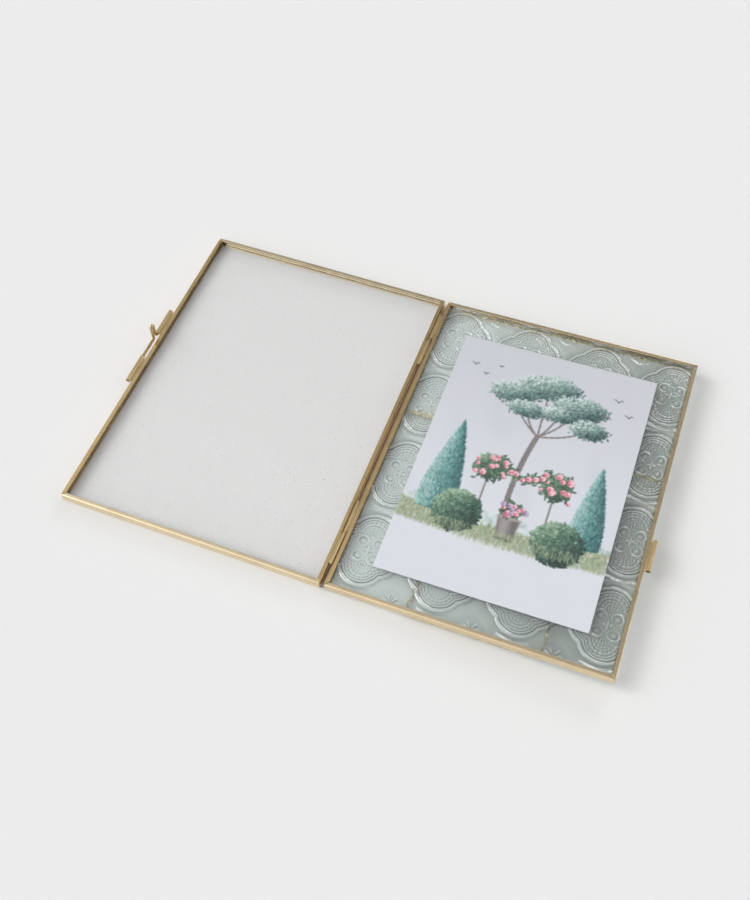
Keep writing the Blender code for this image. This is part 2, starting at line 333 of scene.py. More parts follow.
wire = brass("wire_brass_drawn", TUBE_COLOUR, TUBE_TARNISH, 0.24, WIRE_GRAIN, 0.001 * MM)
solder = brass("solder_brass", SOLDER_COLOUR, SOLDER_TARNISH, 0.36, SOLDER_GRAIN, 0.02 * MM)
seam = brass("hinge_seam_brass_painted_shade", SEAM_PAINTED_SHADE, SEAM_PAINTED_SHADE_TARNISH, 0.34, ALONG_Y, 0.004 * MM)
# Painted glints on the strut's wire and on the crust; the crust is less metallic, so that it shows brighter under
# the glass
under_glass = painted_glint_brass("wire_brass_painted_glints", metallic=1.0)
glint_crust_brass = painted_glint_brass("glint_crust", metallic=0.35)
clear = glass(
    "clear_glass_pane",
    tint=(0.98, 0.98, 0.98, 1.0),
    shade=(0.66, 0.66, 0.66, 1.0),
    clearness=1.0,
    bend=1.5,
    dust=0.015,
)
pressed = glass(
    "pressed_glass_relief",
    tint=relief_painted_shading,
    shade=(0.72, 0.76, 0.74, 1.0),
    clearness=0.90,
    bend=1.75,
    dust=0.02,
    normal=fine_stipple,
)

# ---- pieces


def new_piece(name, mesh, material, body):
    """Adds a mesh to the scene as a piece that rides on a body."""
    piece = bpy.data.objects.new(name, mesh)
    bpy.context.scene.collection.objects.link(piece)
    mesh.materials.append(material)
    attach(piece, body)
    return piece


def piece_from_bmesh(name, shape, material, body):
    mesh = bpy.data.meshes.new(name)
    shape.to_mesh(mesh)
    shape.free()
    return new_piece(name, mesh, material, body)


def stand_in(name, mesh, material, node):
    """Adds a mesh that stands for a CAD node and rides on that node's body."""
    piece = new_piece(name, mesh, material, BODY_OF_NODE[node])
    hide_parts(node)


def placed_mesh(name, points, faces, smooth_count, place):
    """A mesh from points in a frame of their own, of which only the first faces are smooth."""
    matrix = np.array(place)
    mesh = bpy.data.meshes.new(name)
    mesh.from_pydata((np.array(points) @ matrix[:3, :3].T + matrix[:3, 3]).tolist(), [], faces)
    smooth = np.zeros(len(faces), bool)
    smooth[:smooth_count] = True
    mesh.polygons.foreach_set("use_smooth", smooth)
    mesh.update()
    return mesh


# ---- nodes carried over from the CAD

WELD_DISTANCE = 0.000001
FLAT_ANGLE = math.radians(1.0)
SHARP_ANGLE = math.radians(40)
CREASE_ANGLE = math.radians(50)
BRASS_EDGE = 0.09 * MM
PANE_EDGE = 0.25 * MM
EDGE_SEGMENTS = 3
RAIL_MATERIAL = {
    "front_top_rail": painted_lit_x,
    "front_bottom_rail": painted_lit_x,
    "front_latch_rail": painted_shade_y,
    "front_hinge_rail": painted_shade_y,
    "back_top_rail": painted_mid_x,
    "back_bottom_rail": painted_mid_x,
    "back_latch_rail": painted_mid_y,
    "back_hinge_rail": painted_shade_y,
}


def welded(node):
    """The CAD node's mesh with its faces joined up again, as a bmesh."""
    shape = bmesh.new()
    shape.from_mesh(NODES[node].data)
    bmesh.ops.remove_doubles(shape, verts=shape.verts, dist=WELD_DISTANCE)
    bmesh.ops.dissolve_limit(shape, angle_limit=FLAT_ANGLE, verts=shape.verts, edges=shape.edges)
    return shape


def refine(node, material, edge=BRASS_EDGE):
    """A copy of a CAD node with its sharp edges rolled over, which stands for the node."""
    shape = welded(node)
    bmesh.ops.bevel(
        shape,
        geom=[e for e in shape.edges if len(e.link_faces) == 2 and e.calc_face_angle() > SHARP_ANGLE],
        offset=edge,
        offset_type="OFFSET",
        segments=EDGE_SEGMENTS,
        profile=0.5,
        affect="EDGES",
        clamp_overlap=True,
    )
    for face in shape.faces:
        face.smooth = True
    piece = piece_from_bmesh(f"{node}_fine", shape, material, BODY_OF_NODE[node])
    piece.data.set_sharp_from_angle(angle=CREASE_ANGLE)
    evened = piece.modifiers.new("even_normals", "WEIGHTED_NORMAL")
    evened.keep_sharp = True
    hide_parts(node)


def carry_over_brass():
    for node in sorted(NODES):
        if node.endswith("_rail"):
            refine(node, RAIL_MATERIAL[node])
        elif node.endswith(("knuckle", "tube", "sleeve")):
            refine(node, tube)
        elif node in ("strut_bar", "strut_loop"):
            # the strut's bar and loop carry painted glints
            refine(node, under_glass)
        elif node.endswith(("pin", "bolt")):
            refine(node, wire)


# ---- solder, seams and crust

BEAD_SIDES = 14
BEAD_END = 0.25  # size of a bead's ends, as a share of its full size
SWELL_LOW, SWELL_HIGH = 0.88, 1.06
JOINT_DROP = 0.45 * MM  # of the solder below the middle of its tube
SEAM_GAP = 0.40 * MM
SEAM_TOP_DROP = 0.78 * MM
SEAM_SQUARENESS = 0.3
CRUST_STEP = 0.45 * MM
GLASS_CLEARANCE = 0.06 * MM


def squared(value, power):
    """A sine or cosine pushed outwards, so that a round section becomes squarer."""
    return math.copysign(abs(value) ** power, value)


def bead_ring(shape, centre, across, up, power):
    """One section of a bead; across and up are each a direction and a half size."""
    ring = []
    for k in range(BEAD_SIDES):
        angle = 2 * math.pi * k / BEAD_SIDES
        out = across[0] * (across[1] * squared(math.cos(angle), power))
        rise = up[0] * (up[1] * squared(math.sin(angle), power))
        ring.append(shape.verts.new(centre + out + rise))
    return ring


def leaf_bead(name, node, material, matrix, ends, count, half_sizes, across, seed, power=1.0):
    """A lumpy bead between two points of a leaf's frame, riding with a node of that leaf.

    Its section is an oval, or squarer with a lower power.
    """
    random = np.random.RandomState(seed)
    turn = matrix.to_3x3()
    start, end = matrix @ ends[0], matrix @ ends[1]
    shape = bmesh.new()
    rings = []
    for i in range(count):
        share = i / (count - 1)
        taper = math.sqrt(max(0.0, 1 - (2 * i / (count - 1) - 1) ** 6))
        swell = (BEAD_END + (1 - BEAD_END) * taper) * random.uniform(SWELL_LOW, SWELL_HIGH)
        wide = (turn @ across, half_sizes[0] * swell)
        high = (turn @ Z_AXIS, half_sizes[1] * swell)
        rings.append(bead_ring(shape, start.lerp(end, share), wide, high, power))
    for first, second in zip(rings, rings[1:]):
        for k in range(BEAD_SIDES):
            after = (k + 1) % BEAD_SIDES
            shape.faces.new((first[k], first[after], second[after], second[k]))
    shape.faces.new(tuple(reversed(rings[0])))
    shape.faces.new(tuple(rings[-1]))
    bmesh.ops.recalc_face_normals(shape, faces=shape.faces)
    for face in shape.faces:
        face.smooth = True
    piece_from_bmesh(name, shape, material, BODY_OF_NODE[node])


def joint_line(tube_node, rail_node, matrix, seed):
    """Solder along the seam between a tube and the outer side of its rail, below the tube's middle."""
    tube_low, tube_high = leaf_box(tube_node, matrix)
    rail_low, rail_high = leaf_box(rail_node, matrix)
    tube_is_left = tube_low[0] < rail_low[0]
    tube_side = tube_high[0] if tube_is_left else tube_low[0]
    rail_side = rail_low[0] if tube_is_left else rail_high[0]
    middle_x = (tube_side + rail_side) / 2
    middle_z = (tube_low[2] + tube_high[2]) / 2 - JOINT_DROP
    inset = 0.4 * MM
    ends = [Vector((middle_x, y, middle_z)) for y in (tube_low[1] + inset, tube_high[1] - inset)]
    half_sizes = (abs(tube_side - rail_side) / 2 + 0.16 * MM, 0.42 * MM)
    leaf_bead(f"{tube_node}_solder", tube_node, solder, matrix, ends, 36, half_sizes, X_AXIS, seed)


def sleeve_joint(node, seed):
    """Solder between a strut sleeve and the end of the strut's wire loop."""
    low, high = leaf_box(node, BACK_LEAF)
    middle = (low + high) / 2
    place = Vector((middle[0], low[1] - 0.10 * MM, middle[2]))
    side = Vector((1.7 * MM, 0, 0))
    ends = (place - side, place + side)
    half_sizes = (0.55 * MM, 0.62 * MM)
    leaf_bead(f"{node}_solder", node, solder, BACK_LEAF, ends, 16, half_sizes, Y_AXIS, seed)


def bar_joint(name, end, seed):
    """Solder round one end of the strut's bar, where it meets the side rail's edge."""
    low, high = leaf_box("strut_bar", BACK_LEAF)
    middle = (low + high) / 2
    tip = low[0] if end < 0 else high[0]
    ends = [Vector((x, middle[1], middle[2])) for x in (tip - end * 1.0 * MM, tip + end * 0.45 * MM)]
    half_sizes = (0.95 * MM, 0.62 * MM)
    leaf_bead(name, "strut_bar", solder, BACK_LEAF, ends, 12, half_sizes, Y_AXIS, seed)


def hinge_seam(name, node, matrix, side, seed):
    """The brass lip along a hinge rail's outer side, below the knuckles, that narrows the gap; its darker brass is
    painted shade of the gap.
    """
    low, high = leaf_box(node, matrix)
    rail_side = low[0] if side > 0 else high[0]
    lip_side = side * SEAM_GAP / 2
    top, bottom = -SEAM_TOP_DROP, low[2] + 0.35 * MM
    middle_x, middle_z = (rail_side + lip_side) / 2, (top + bottom) / 2
    inset = 0.5 * MM
    ends = [Vector((middle_x, y, middle_z)) for y in (low[1] + inset, high[1] - inset)]
    half_sizes = (abs(rail_side - lip_side) / 2, (top - bottom) / 2)
    leaf_bead(name, node, seam, matrix, ends, 160, half_sizes, X_AXIS, seed, SEAM_SQUARENESS)


def glint_crust(name, node, start, end, half_width, drop, seed):
    """A lumpy crust under the pressed glass that carries painted glints, from start to end in the back leaf's
    frame.
    """
    across = Vector((start[1] - end[1], end[0] - start[0], 0.0)).normalized()
    middle_z = leaf_box("pressed_glass", BACK_LEAF)[0][2] - GLASS_CLEARANCE - drop / 2
    ends = [Vector((x, y, middle_z)) for x, y in (start, end)]
    count = int((BACK_LEAF @ ends[1] - BACK_LEAF @ ends[0]).length / CRUST_STEP)
    half_sizes = (half_width, drop / 2 / SWELL_HIGH)
    leaf_bead(name, node, glint_crust_brass, BACK_LEAF, ends, count, half_sizes, across, seed)


def add_solder():
    hinge_seam("front_hinge_seam", "front_hinge_rail", FRONT_LEAF, -1, 12)
    hinge_seam("back_hinge_seam", "back_hinge_rail", BACK_LEAF, 1, 13)
    joints = (
        ("upper_guide_tube", "front_latch_rail", FRONT_LEAF),
        ("lower_guide_tube", "front_latch_rail", FRONT_LEAF),
        ("catch_tube", "back_latch_rail", BACK_LEAF),
        ("front_upper_knuckle", "front_hinge_rail", FRONT_LEAF),
        ("front_lower_knuckle", "front_hinge_rail", FRONT_LEAF),
        ("back_upper_knuckle", "back_hinge_rail", BACK_LEAF),
        ("back_lower_knuckle", "back_hinge_rail", BACK_LEAF),
    )
    for seed, (tube_node, rail_node, matrix) in enumerate(joints, 1):
        joint_line(tube_node, rail_node, matrix, seed)
    sleeve_joint("strut_inner_sleeve", 8)
    sleeve_joint("strut_outer_sleeve", 9)
    bar_joint("bar_inner_solder", -1, 10)
    bar_joint("bar_outer_solder", 1, 11)


def add_crusts():
    """Crust with painted glints along the strut's bar on both sides of the card, the top rail and the latch rail.
    """
    bar_low, bar_high = leaf_box("strut_bar", BACK_LEAF)
    inner = leaf_box("strut_inner_sleeve", BACK_LEAF)[0][0] - 1.0 * MM
    outer = leaf_box("strut_outer_sleeve", BACK_LEAF)[1][0] + 1.0 * MM
    bar_y = (bar_low[1] + bar_high[1]) / 2
    bar_ends = bar_low[0] + 0.4 * MM, bar_high[0] - 0.4 * MM
    bar_size = (1.1 * MM, 0.85 * MM)
    glint_crust("bar_inner_crust", "strut_bar", (bar_ends[0], bar_y), (inner, bar_y), *bar_size, 14)
    glint_crust("bar_outer_crust", "strut_bar", (outer, bar_y), (bar_ends[1], bar_y), *bar_size, 15)
    top = leaf_box("back_top_rail", BACK_LEAF)[0][1] - 0.35 * MM
    latch = leaf_box("back_latch_rail", BACK_LEAF)[0][0] - 0.15 * MM
    hinge = leaf_box("back_hinge_rail", BACK_LEAF)[1][0] + 0.3 * MM
    foot = leaf_box("back_bottom_rail", BACK_LEAF)[1][1] + 0.3 * MM
    top_size = (0.85 * MM, 0.6 * MM)
    latch_size = (0.5 * MM, 0.6 * MM)
    glint_crust("top_rail_crust", "back_top_rail", (hinge, top), (latch, top), *top_size, 16)
    glint_crust("latch_rail_crust", "back_latch_rail", (latch, foot), (latch, top), *latch_size, 17)


# ---- pressed glass

RELIEF_STEP = 0.000312
RELIEF_DEPTH = 0.8 * MM
# Painted shade beside the relief's ridges and painted highlights on their tops, kept in the tone attribute
TONE_REACH = 0.9 * MM  # how far around a point its tone is measured from
TONE_GAIN = 3.5
PLAIN_TONE = 0.5
CARD_MARGIN = 3.0 * MM  # of fine relief that carries on under the card's edges

# The pattern, with lengths in millimetres and heights as shares of the relief's depth
MEDALLION_X_MM = 11.6
MEDALLION_Y_MM = 59.2
PITCH_X_MM = 33.1
PITCH_Y_MM = 38.9
TALL_LOBE_MM = (7.1, 9.9)  # how far its middle is off the medallion's, and its radius
WIDE_LOBE_MM = (2.9, 12.7)
# Each rim's height, distance inside the medallion's edge, and width
RIMS = ((0.62, 0.75, 0.72), (0.36, 2.35, 0.36), (0.24, 3.35, 0.30), (0.20, 4.6, 0.34))
RING_X_MM = 3.3
RING_Y_MM = 3.5
RING_RADIUS_MM = 2.3
RING_OPENS_AT = 0.9  # radians
ARM_MIDDLE_MM = 7.6
BEAD_PITCH_MM = 1.25
BEADS_ROUND = 44
PETALS = 9
# Irregular waves: their rates, how much they bend, and how fast, across x and y
BEAD_WEAR = ((0.83, 0.71), (1.7, 1.3), (0.37, 0.29))
PANE_SWELL = ((0.55, 0.47), (0.9, 0.8), (0.31, 0.23))


def ridge(distance, width):
    return np.exp(-((distance / width) ** 2))


def step_up(value, low, high):
    share = np.clip((value - low) / (high - low), 0, 1)
    return share * share * (3 - 2 * share)


def wandering(x, y, rates, bends, bend_rates):
    """An irregular wave between -1 and 1."""
    first = np.sin(rates[0] * x + bends[0] * np.sin(bend_rates[0] * y))
    return first * np.sin(rates[1] * y + bends[1] * np.sin(bend_rates[1] * x))


def medallion_place(x, y):
    """Offsets from the nearest medallion's middle, and the distance outside its scalloped edge."""
    u = (x - MEDALLION_X_MM + PITCH_X_MM / 2) % PITCH_X_MM - PITCH_X_MM / 2
    v = (y - MEDALLION_Y_MM + PITCH_Y_MM / 2) % PITCH_Y_MM - PITCH_Y_MM / 2
    tall = np.hypot(u, np.abs(v) - TALL_LOBE_MM[0]) - TALL_LOBE_MM[1]
    wide = np.hypot(np.abs(u) - WIDE_LOBE_MM[0], v) - WIDE_LOBE_MM[1]
    return u, v, np.minimum(tall, wide)


def stepped_rims(edge):
    """The medallion's domed floor, and rims that follow its edge."""
    height = 0.28 + 0.12 * step_up(-edge, 0.0, 8.0)
    for share, inset, width in RIMS:
        height += share * ridge(edge + inset, width)
    return height


def open_rings(u, v):
    """Four open rings with a dot in each, and the distance outside them."""
    p, q = np.abs(u) - RING_X_MM, np.abs(v) - RING_Y_MM
    radius = np.hypot(p, q)
    outside = radius - RING_RADIUS_MM
    opening = 0.62 + 0.38 * np.cos(np.arctan2(q, p) - RING_OPENS_AT)
    height = 0.40 * ridge(outside, 0.46) * opening - 0.10 * step_up(-outside, -0.6, 0.6)
    return height + 0.25 * ridge(radius, 0.8), outside


def star(u, v):
    """A cross at the medallion's heart, with broader arms further out."""
    arms = np.abs(u) * np.abs(v)
    radius = np.hypot(u, v)
    height = 0.30 * ridge(arms, 0.5) * step_up(-radius, -3.2, -1.0)
    return height + 0.26 * ridge(arms, 1.3) * step_up(-np.abs(radius - ARM_MIDDLE_MM), -2.0, 0.0)


def worn_beads(x, y, place, outside_rings):
    """Beaded rows that fill the medallion round its rings, worn in places."""
    u, v, edge = place
    field = step_up(-edge, 2.6, 3.4) * step_up(outside_rings, 0.6, 1.1)
    rows = 0.5 + 0.5 * np.cos(2 * np.pi * edge / BEAD_PITCH_MM)
    beads = rows * (0.6 + 0.4 * np.cos(np.arctan2(v, u) * BEADS_ROUND))
    return 0.31 * beads * field * (0.62 + 0.38 * wandering(x, y, *BEAD_WEAR))


def between_medallions(u, v, edge):
    """Bursts of petals, smooth pinches and low domes where medallions meet."""
    p = np.abs(u) - PITCH_X_MM / 2
    q = np.abs(v) - PITCH_Y_MM / 2
    radius = np.hypot(p, q)
    petals = 0.5 + 0.5 * np.cos(PETALS * np.arctan2(q, p))
    height = 0.34 * petals * step_up(radius, 0.7, 1.8) * step_up(-radius, -4.8, -3.0)
    height += 0.50 * ridge(q + 0.08 * np.abs(u), 1.1) * step_up(-np.abs(u), -10.0, -5.0)
    height += 0.25 * ridge(radius, 0.7)
    return height + 0.30 * step_up(edge, 0.8, 3.2) * step_up(radius, 5.0, 7.0)


def relief_height(x, y):
    """Height of the pressed pattern from 0 to 1: scalloped medallions on a rectangular lattice."""
    place = medallion_place(x, y)
    u, v, edge = place
    rings, outside_rings = open_rings(u, v)
    height = stepped_rims(edge) + rings + star(u, v)
    height += worn_beads(x, y, place, outside_rings) + between_medallions(u, v, edge)
    return np.clip(height + 0.09 * wandering(x, y, *PANE_SWELL), 0.0, 1.0)


def blurred(values, radius, step):
    """values smoothed over a distance along both axes."""
    count = max(1, int(round(radius / step)))
    shares = np.hanning(2 * count + 3)[1:-1]
    shares /= shares.sum()
    for axis in (0, 1):
        padded = np.pad(values, [(count, count) if a == axis else (0, 0) for a in (0, 1)], "edge")
        values = np.apply_along_axis(lambda line: np.convolve(line, shares, "valid"), axis, padded)
    return values


def fine_cells(x, y, cells):
    """Whether each cell of three by three steps is fine, with a border of False round the sheet."""
    card_low, card_high = leaf_box("picture_card", BACK_LEAF)
    low, high = card_low + CARD_MARGIN, card_high - CARD_MARGIN

    def is_fine(i, j):
        if not (0 <= i < cells[0] and 0 <= j < cells[1]):
            return False
        u, v = x[3 * i + 1], y[3 * j + 1]
        return not (low[0] < u < high[0] and low[1] < v < high[1])

    return [[is_fine(i, j) for j in range(-1, cells[1] + 1)] for i in range(-1, cells[0] + 1)]


def sheet_faces(cells, fine):
    """Corners of the sheet's top faces: nine in a fine cell, and one in a cell under the card."""
    faces = []
    for i in range(cells[0]):
        for j in range(cells[1]):
            a, b = 3 * i, 3 * j
            if fine[i + 1][j + 1]:
                for p in range(a, a + 3):
                    for q in range(b, b + 3):
                        faces.append([(p, q), (p + 1, q), (p + 1, q + 1), (p, q + 1)])
                continue
            loop = [(a, b)]
            loop += [(a + 1, b), (a + 2, b)] * fine[i + 1][j]
            loop.append((a + 3, b))
            loop += [(a + 3, b + 1), (a + 3, b + 2)] * fine[i + 2][j + 1]
            loop.append((a + 3, b + 3))
            loop += [(a + 2, b + 3), (a + 1, b + 3)] * fine[i + 1][j + 2]
            loop.append((a, b + 3))
            loop += [(a, b + 2), (a, b + 1)] * fine[i][j + 1]
            faces.append(loop)
    return faces


def sheet_rim(last_x, last_y):
    """Corners round the sheet's edge, counter-clockwise."""
    rim = [(p, 0) for p in range(last_x)]
    rim += [(last_x, q) for q in range(last_y)]
    rim += [(p, last_y) for p in range(last_x, 0, -1)]
    rim += [(0, q) for q in range(last_y, 0, -1)]
    return rim


def relief_sheet(name, low, high):
    """The pressed sheet: fine cells where it shows, cells three times as wide under the card."""
    cells = [int(round((high[k] - low[k]) / (3 * RELIEF_STEP))) for k in (0, 1)]
    x = np.linspace(low[0], high[0], 3 * cells[0] + 1)
    y = np.linspace(low[1], high[1], 3 * cells[1] + 1)
    heights = relief_height(*np.meshgrid(x / MM, y / MM))
    softened = blurred(heights, TONE_REACH, RELIEF_STEP)
    corner_faces = sheet_faces(cells, fine_cells(x, y, cells))
    index, points, painted_shading = {}, [], []
    for p, q in (corner for face in corner_faces for corner in face):
        if (p, q) not in index:
            index[(p, q)] = len(points)
            points.append((x[p], y[q], high[2] - RELIEF_DEPTH * (1 - heights[q, p])))
            # painted shading: lighter where the relief stands above its surroundings, darker where it sinks
            painted_shading.append(PLAIN_TONE + TONE_GAIN * (heights[q, p] - softened[q, p]))
    faces = [[index[corner] for corner in face] for face in corner_faces]
    top_faces = len(faces)
    rim = [index[corner] for corner in sheet_rim(3 * cells[0], 3 * cells[1])]
    first = len(points)
    points += [(*points[corner][:2], low[2]) for corner in rim]
    painted_shading += [PLAIN_TONE] * len(rim)
    for k, corner in enumerate(rim):
        after = (k + 1) % len(rim)
        faces.append([rim[after], corner, first + k, first + after])
    faces.append([first + k for k in reversed(range(len(rim)))])
    mesh = placed_mesh(name, points, faces, top_faces, BACK_LEAF)
    layer = mesh.attributes.new("tone", "FLOAT", "POINT")
    layer.data.foreach_set("value", np.clip(painted_shading, 0, 1).astype(np.float32))
    return mesh


def add_pressed_glass():
    name = "pressed_glass_relief"
    mesh = relief_sheet(name, *leaf_box("pressed_glass", BACK_LEAF))
    stand_in(name, mesh, pressed, "pressed_glass")


# ---- the card's print

CANVAS = 6.0  # painted dots per millimetre
CARD_STEP = 0.34 * MM
STROKE_STEP = 0.25  # between the dots of a painted line, in millimetres


def cone_width(half_wide, share):
    """Half width of a clipped cone at a share of its height, drawn in a little at its foot."""
    return half_wide * (1 - share) ** 0.8 * (1 - 0.25 * (1 - share) ** 6)


class Painting:
    """A sheet of paint in millimetres, u to the right and v up, in display colours from 0 to 1."""

    def __init__(self, width, height, seed):
        self.width = width
        self.height = height
        self.random = np.random.RandomState(seed)
        self.v, self.u = np.mgrid[0 : height * CANVAS, 0 : width * CANVAS]
        self.u = (self.u + 0.5) / CANVAS
        self.v = (self.v + 0.5) / CANVAS
        self.paint = np.ones(self.u.shape + (3,))

    def window(self, u, v, reach):
        """The part of the sheet within reach of a point."""
        left = max(0, int((u - reach) * CANVAS))
        right = min(self.u.shape[1], int((u + reach) * CANVAS) + 2)
        low = max(0, int((v - reach) * CANVAS))
        high = min(self.u.shape[0], int((v + reach) * CANVAS) + 2)
        return slice(low, high), slice(left, right)

    def lay(self, area, cover, colour):
        """Covers an area with a colour, by 0 to 1 at each dot."""
        part = self.paint[area]
        part += (np.array(colour) - part) * np.clip(cover, 0, 1)[..., None]

    def dab(self, u, v, half_long, half_wide, angle, colour, strength=1.0):
        """One leaf-shaped touch of the brush."""
        area = self.window(u, v, half_long + 0.4)
        du, dv = self.u[area] - u, self.v[area] - v
        if not du.size:
            return
        along = (du * math.cos(angle) + dv * math.sin(angle)) / half_long
        across = (dv * math.cos(angle) - du * math.sin(angle)) / half_wide
        inside = 1 - np.abs(along) ** 2 - np.abs(across) * (1 + 0.3 * np.abs(along))
        self.lay(area, strength * np.clip(inside * 2.5 + 0.3, 0, 1), colour)

    def disc(self, u, v, half_wide, half_high, colour, strength=1.0, soft=0.15):
        area = self.window(u, v, max(half_wide, half_high) * (1 + soft) + 0.4)
        reach = np.hypot((self.u[area] - u) / half_wide, (self.v[area] - v) / half_high)
        self.lay(area, strength * np.clip((1 - reach) / soft + 0.5, 0, 1), colour)

    def stroke(self, points, first_width, last_width, colour, strength=1.0):
        """A tapering line through points."""
        for (u0, v0), (u1, v1) in zip(points, points[1:]):
            length = math.hypot(u1 - u0, v1 - v0)
            count = max(2, int(length / STROKE_STEP))
            for i in range(count):
                share = i / count
                width = first_width + (last_width - first_width) * share
                u, v = u0 + (u1 - u0) * share, v0 + (v1 - v0) * share
                self.disc(u, v, width, width, colour, strength, 0.5)

    def pick(self, palette, light):
        """A colour from a dark-to-light palette, near the wanted lightness."""
        place = np.clip(light + self.random.normal(0, 0.17), 0, 0.999) * (len(palette) - 1)
        first = int(place)
        share = place - first
        return np.array(palette[first]) * (1 - share) + np.array(palette[first + 1]) * share

    def clump(self, u, v, half_wide, half_high, palette, leaf, count, ragged=0.12):
        """A round mass of leaves, lit from the upper left."""
        self.disc(u, v, half_wide * 0.93, half_high * 0.93, palette[1], 0.85, 0.25)
        for _ in range(count):
            angle = self.random.uniform(0, 2 * math.pi)
            reach = math.sqrt(self.random.uniform()) * (1 + self.random.normal(0, ragged))
            du, dv = math.cos(angle) * reach, math.sin(angle) * reach
            light = 0.47 + 0.40 * (dv - 0.75 * du)
            size = leaf * self.random.uniform(0.7, 1.3)
            turn = self.random.uniform(0, math.pi)
            tone = self.pick(palette, light)
            self.dab(u + du * half_wide, v + dv * half_high, size, size * 0.5, turn, tone, 0.85)

    def cone(self, u, foot, top, half_wide, palette, count):
        """A clipped conical evergreen with short upright needles."""
        bands = 60
        for i in range(bands):
            share = i / bands
            width = max(cone_width(half_wide, share), 0.3)
            self.disc(u, foot + (top - foot) * share, width * 0.95, 0.9, palette[1], 0.8, 0.3)
        for _ in range(count):
            share = 1 - math.sqrt(self.random.uniform())
            side = self.random.uniform(-1, 1)
            needle = self.random.uniform(0.7, 1.1)
            lean = math.pi / 2 - 0.6 * side + self.random.normal(0, 0.25)
            tone = self.pick(palette, 0.5 - 0.38 * side + 0.1 * share)
            place = u + side * cone_width(half_wide, share), foot + (top - foot) * share
            self.dab(*place, needle, 0.26, lean, tone, 0.9)

    def blossom(self, u, v, size, palette):
        """An open flower of overlapping petals round a deeper heart."""
        self.disc(u, v, size, size * 0.92, palette[1], 0.95, 0.2)
        for ring, count in ((0.62, 6), (0.34, 4)):
            start = self.random.uniform(0, 2 * math.pi)
            for k in range(count):
                angle = start + 2 * math.pi * k / count
                tone = self.pick(palette, 0.66 + 0.3 * math.sin(angle + 0.8))
                place = u + size * ring * math.cos(angle), v + size * ring * math.sin(angle)
                self.dab(*place, size * 0.5, size * 0.42, angle + math.pi / 2, tone, 0.8)
        self.disc(u, v, size * 0.2, size * 0.2, palette[0], 0.7, 0.6)

    def spray(self, path, reach, leaves, flowers, leaf_palette, flower_palette):
        """Leaves and blossoms scattered along a path of points."""
        for _ in range(leaves):
            u, v = path[self.random.randint(len(path))]
            u, v = u + self.random.normal(0, reach), v + self.random.normal(0, reach)
            turn = self.random.uniform(0, 2 * math.pi)
            self.dab(u, v, 1.35, 0.62, turn, self.pick(leaf_palette, 0.45), 0.95)
        for k in range(flowers):
            u, v = path[int((k + 0.5) * len(path) / flowers)]
            u, v = u + self.random.normal(0, reach * 0.8), v + self.random.normal(0, reach * 0.8)
            self.blossom(u, v, self.random.uniform(0.9, 1.65), flower_palette)


def shade(*levels):
    """Display colours given as 0 to 255 triples."""
    return [tuple(channel / 255 for channel in level) for level in levels]


PAPER = shade((220, 223, 230))[0]
CLOUD = shade((196, 200, 206))[0]
CROWN = shade((36, 66, 64), (78, 110, 106), (122, 150, 144), (172, 192, 186), (214, 224, 222))
SPIRE = shade((26, 70, 74), (50, 104, 106), (88, 140, 138), (134, 176, 172), (186, 214, 208))
BOX = shade((18, 42, 36), (34, 66, 56), (62, 98, 80), (108, 142, 116), (158, 186, 156))
LEAF = shade((34, 58, 46), (60, 92, 72), (96, 128, 104), (140, 164, 138))
ROSE = shade((150, 60, 84), (200, 104, 128), (222, 146, 162), (240, 190, 198), (250, 222, 226))
LILAC = shade((96, 70, 110), (140, 112, 150), (182, 160, 190), (220, 208, 226))
BARK = shade((124, 118, 116))[0]
STONE = shade((84, 80, 80), (124, 118, 116), (160, 154, 150), (196, 192, 188))
GRASS = shade((96, 112, 88), (134, 148, 116), (172, 182, 148), (206, 212, 184))
BIRD = shade((92, 88, 92))[0]


def curve_points(points, count):
    """Points along a smooth curve through three control points."""
    (a, b, c) = (np.array(p, float) for p in points)
    shares = np.linspace(0, 1, count)[:, None]
    return ((1 - shares) ** 2 * a + 2 * shares * (1 - shares) * b + shares**2 * c).tolist()


MIST_WAVES = 14
GROUND = 33.0  # the garden's ground line on the card, in millimetres
TREE_FORK = (46.0, 82.0)
TREE_CLUMPS = (
    (45, 109, 13.5, 6.6),
    (30, 102, 10.5, 5.4),
    (60, 102, 12.0, 6.2),
    (38, 95, 8.5, 4.2),
    (66, 92, 8.0, 4.8),
    (52, 96, 7.5, 3.8),
)
EVERGREENS = ((14.0, 1.0, 81.0, 10.5, 3200), (77.0, 2.0, 75.0, 8.8, 2600))
ROSE_HEADS = ((31.5, 61.0), (60.5, 59.5))
BOX_BALLS = ((24.0, 36.0, 10.4, 10.0, 1300), (67.5, 33.5, 10.8, 10.2, 1400))
TUB_U = 46.0
BIRDS = ((9, 112, 1.8), (15, 108, 1.4), (20.5, 114, 1.2), (75, 111, 2.3), (81, 104, 2.0), (72, 101, 1.6))


def paint_sky(sheet):
    """Paper with a wash towards the top and faint clouds."""
    sheet.paint[:] = PAPER
    wash = 0.985 - 0.075 * step_up(sheet.v / sheet.height, 0.2, 1.0)
    sheet.paint *= wash[..., None]
    mist = np.zeros(sheet.u.shape)
    for _ in range(MIST_WAVES):
        rate_u, rate_v = sheet.random.normal(0, 0.16, 2)
        mist += np.sin(rate_u * sheet.u + rate_v * sheet.v + sheet.random.uniform(0, 6.3))
    cover = 0.35 * step_up(mist, -1.0, 5.0) * step_up(sheet.v, 22, 40)
    sheet.lay((slice(None), slice(None)), cover, CLOUD)


